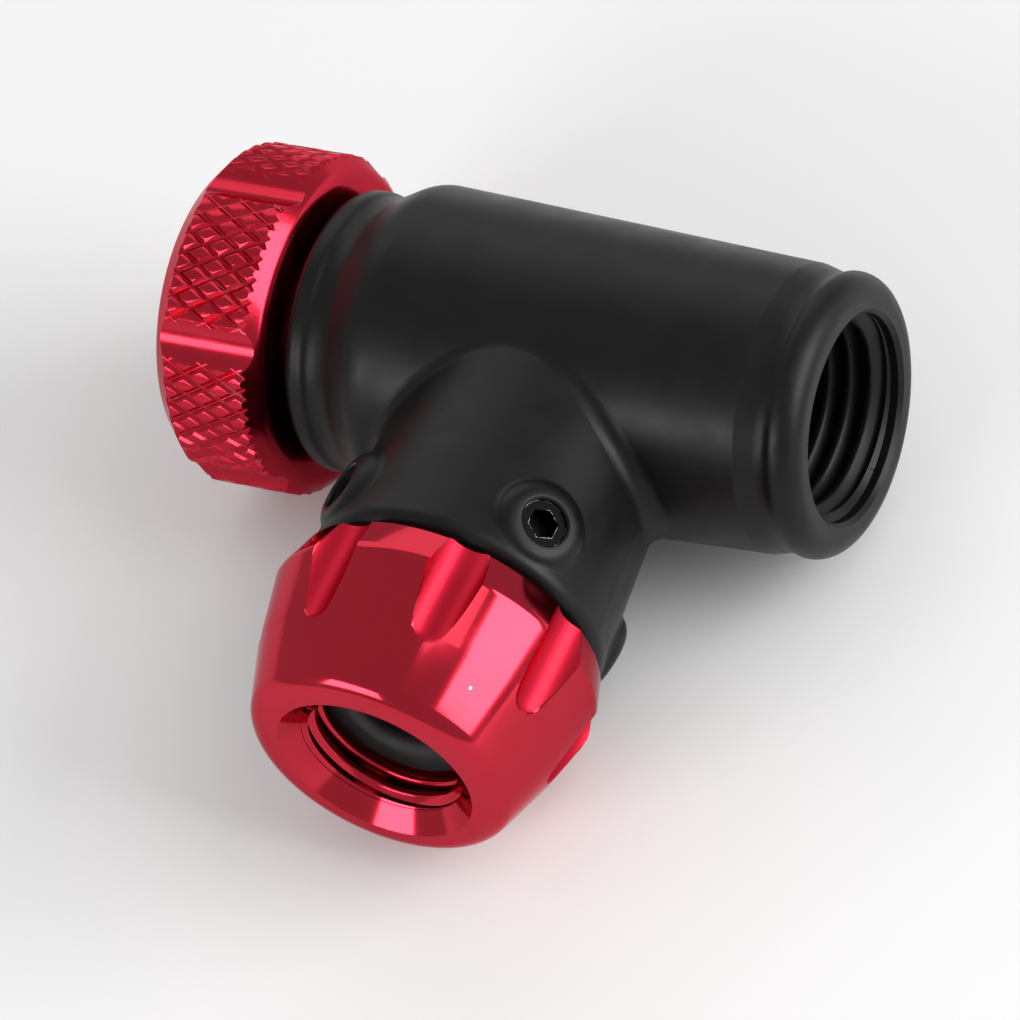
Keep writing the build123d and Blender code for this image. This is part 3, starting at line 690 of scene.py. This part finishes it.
for step in range(flute_count):
    angle = first_flute + step * 2 * pi / flute_count
    reach = knob_radius + flute_radius - flute_depth
    cutter = bar_along_x(
        "flute cutter",
        flute_radius,
        knob_low.x - overrun,
        knob_high.x + overrun,
        sides=96,
        centre=(reach * cos(angle), reach * sin(angle)),
    )
    combine(knob, cutter, "DIFFERENCE")
stem_hole = bar_along_x("stem hole", stem_hole_radius, knob_low.x - overrun, knob_high.x + overrun, sides=64)
for side in (1, -1):
    keep_side(stem_hole, (0, 0, side * stem_flats / 2), (0, 0, side))
combine(knob, stem_hole, "DIFFERENCE")
combine(knob, knurled_bar, "INTERSECT")
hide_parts("knob")
dress(knob, red_knob, "knob", corner=28)

# %% [markdown]
# ## Chuck
# The chuck is turned from bar and then milled with eight finger flutes. Its polish shows
# every facet, so it is turned here with many more sides. The outline is a closed loop that
# starts at the gas way, goes out along the neck and its two grooves, over the swell to the
# mouth, and comes back up the bore. Depths are counted down the branch.

# %% Helper for turned pieces


def on_ring(edge, x, radius):
    """True if both ends of an edge lie on the circle around X at x."""
    ends = [(abs(v.co.x - x), abs(v.co.yz.length - radius)) for v in edge.verts]
    return all(along < small and across < small for along, across in ends)


def turned_piece(name, outline, sides):
    """A ring turned around X from a closed outline of X, radius and the round of the corner."""
    deselect_all()
    first_x, first_radius, _ = outline[0]
    bpy.ops.mesh.primitive_circle_add(
        vertices=sides, radius=first_radius, location=(first_x, 0, 0), rotation=(0, pi / 2, 0)
    )
    piece = bpy.context.object
    piece.name = name
    bpy.ops.object.transform_apply(location=True, rotation=True, scale=True)
    bpy.ops.object.mode_set(mode="EDIT")
    pick(piece, "EDGE", lambda edge: True)
    following = outline[1:] + outline[:1]
    for (x, radius, _), (next_x, next_radius, _) in zip(outline, following):
        bpy.ops.mesh.extrude_region_move(TRANSFORM_OT_translate={"value": (next_x - x, 0, 0)})
        growth = next_radius / radius
        bpy.ops.transform.resize(value=(1, growth, growth), center_override=(next_x, 0, 0))
    bpy.ops.mesh.select_all(action="SELECT")
    bpy.ops.mesh.remove_doubles(threshold=small / 10)
    bpy.ops.mesh.normals_make_consistent(inside=False)
    for before, (x, radius, corner_round), after in zip(outline[-1:] + outline, outline, following):
        if corner_round:
            leg_in = Vector((x - before[0], radius - before[1]))
            leg_out = Vector((after[0] - x, after[1] - radius))
            pick(piece, "EDGE", lambda edge: on_ring(edge, x, radius))
            bpy.ops.mesh.bevel(offset=corner_round * tan(leg_in.angle(leg_out) / 2), segments=10)
    bpy.ops.object.mode_set(mode="OBJECT")
    return piece


# %% Chuck, turned
neck_end = -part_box("chuck")[1].y
bore_roof = -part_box("depressor")[1].y
thread_end = -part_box("valve_gasket")[0].y
neck_radius = 4.9 * mm
gas_way_radius = 1.3 * mm
bore_radius = 4.15 * mm
valve_thread_radius = 3.9 * mm
mouth_radius = 4.72 * mm
thread_start = mouth_depth - mouth_radius + valve_thread_radius
ring_groove = (9.5 * mm, 10.6 * mm, 3.98 * mm)
screw_groove = (11.35 * mm, 12.75 * mm, 4.45 * mm)

chuck_outline = [(neck_end, gas_way_radius, 0), (neck_end, neck_radius, 0)]
for start, end, groove_radius in (ring_groove, screw_groove):
    chuck_outline += [(start, neck_radius, 0), (start, groove_radius, 0)]
    chuck_outline += [(end, groove_radius, 0), (end, neck_radius, 0)]
chuck_outline += [
    (chuck_top, neck_radius, 0),
    (chuck_top, top_radius, 0.2 * mm),
    (crest_depth, crest_radius, 0.8 * mm),
    (waist_depth, waist_radius, 6.0 * mm),
    (mouth_depth, mouth_corner_radius, 1.15 * mm),
    (mouth_depth, mouth_radius, 0),
    (thread_start, valve_thread_radius, 0),
    (thread_end, valve_thread_radius, 0),
    (thread_end, bore_radius, 0),
    (bore_roof, bore_radius, 0),
    (bore_roof, gas_way_radius, 0),
]
chuck = turned_piece("turned_chuck", chuck_outline, sides=256)
print("chuck blank:", len(chuck.data.polygons), "faces")

# %% [markdown]
# A ball-nosed cutter runs along each flute, level with the axis. The chuck tapers towards
# the mouth, so the flute gets shallower and narrower on its way and ends in a round tip.

# %% Chuck, fluted
chuck_flutes = 8
first_chuck_flute = radians(20)
cutter_radius = 1.45 * mm
flute_floor = 6.98 * mm
nose_depth = chuck_top + 4.7 * mm

for step in range(chuck_flutes):
    angle = first_chuck_flute + step * 2 * pi / chuck_flutes
    reach = flute_floor + cutter_radius
    cutter = bar_along_x(
        "ball-nosed cutter",
        cutter_radius,
        chuck_top - 0.5 * mm,
        nose_depth + cutter_radius,
        sides=128,
        centre=(reach * cos(angle), reach * sin(angle)),
    )
    bpy.ops.object.mode_set(mode="EDIT")
    pick(cutter, "EDGE", lambda edge: at_x(edge, nose_depth + cutter_radius))
    bpy.ops.mesh.bevel(offset=0.98 * cutter_radius, segments=24)
    bpy.ops.object.mode_set(mode="OBJECT")
    combine(chuck, cutter, "DIFFERENCE")
hang_on_branch(chuck)
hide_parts("chuck")
dress(chuck, red_chuck, "chuck", corner=28)

# %% [markdown]
# ## Threads
# Both ports are plain bores in the CAD part, because a bore's wall is what gets measured.
# The crests of the threads are ridges of their own. A four-sided profile is wound up by a
# Screw modifier, cut to length with a round bar, and countersunk as a tapped hole is, so
# that the first turn grows out of the lead-in cone.

# %% Thread ridges


def thread_ridge(name, wall_radius, crest_radius, pitch, bottom, top):
    """A right-hand ridge on the wall of a bore along X, from bottom up to top, where the mouth is."""
    root_radius = wall_radius + 0.04 * mm
    root_width, crest_width = 0.88 * pitch, 0.24 * pitch
    middle = (root_radius + crest_radius) / 2
    deselect_all()
    bpy.ops.mesh.primitive_plane_add(size=pitch, location=(0, middle, 0))
    ridge = bpy.context.object
    ridge.name = name
    bpy.ops.object.transform_apply(location=True, rotation=True, scale=True)
    bpy.ops.object.mode_set(mode="EDIT")
    for side, width, radius in ((1, root_width, root_radius), (-1, crest_width, crest_radius)):
        pick(ridge, "EDGE", lambda edge: all((vertex.co.y - middle) * side > 0 for vertex in edge.verts))
        bpy.ops.transform.resize(value=(width / pitch, 1, 1), center_override=(0, 0, 0))
        edge_y = middle + side * pitch / 2
        bpy.ops.transform.translate(value=(bottom - pitch, radius - edge_y, 0))
    pick(ridge, "VERT", lambda vertex: vertex.co.y < middle)
    bpy.ops.mesh.bevel(offset=crest_width * 0.4, segments=3, affect="VERTICES")
    bpy.ops.mesh.select_all(action="SELECT")
    bpy.ops.mesh.delete(type="ONLY_FACE")
    bpy.ops.object.mode_set(mode="OBJECT")
    winding = ridge.modifiers.new("winding", "SCREW")
    winding.axis = "X"
    winding.screw_offset = pitch
    winding.iterations = int((top - bottom) / pitch) + 3
    winding.steps = winding.render_steps = 96
    bpy.ops.object.modifier_apply(modifier=winding.name)
    bpy.ops.object.mode_set(mode="EDIT")
    bpy.ops.mesh.select_all(action="SELECT")
    bpy.ops.mesh.fill_holes(sides=0)
    bpy.ops.mesh.select_all(action="SELECT")
    bpy.ops.mesh.normals_make_consistent(inside=False)
    bpy.ops.object.mode_set(mode="OBJECT")
    height = root_radius - crest_radius
    combine(ridge, bar_along_x("thread length", root_radius + height, bottom, top, sides=192), "INTERSECT")
    countersink = bar_along_x(
        "countersink",
        crest_radius - height,
        top - 2 * height,
        top + height,
        sides=192,
        end_radius=root_radius + height,
    )
    combine(ridge, countersink, "DIFFERENCE")
    return ridge


port_thread = thread_ridge(
    "port_thread",
    wall_radius=4.8 * mm,
    crest_radius=4.22 * mm,
    pitch=25.4 / 24 * mm,
    bottom=-6.4 * mm,
    top=-0.35 * mm,
)
dress(port_thread, black_coat, "root", corner=50)
chuck_thread = thread_ridge(
    "chuck_thread",
    wall_radius=valve_thread_radius,
    crest_radius=3.5 * mm,
    pitch=25.4 / 32 * mm,
    bottom=thread_end,
    top=thread_start,
)
hang_on_branch(chuck_thread)
dress(chuck_thread, red_chuck, "chuck", corner=50)
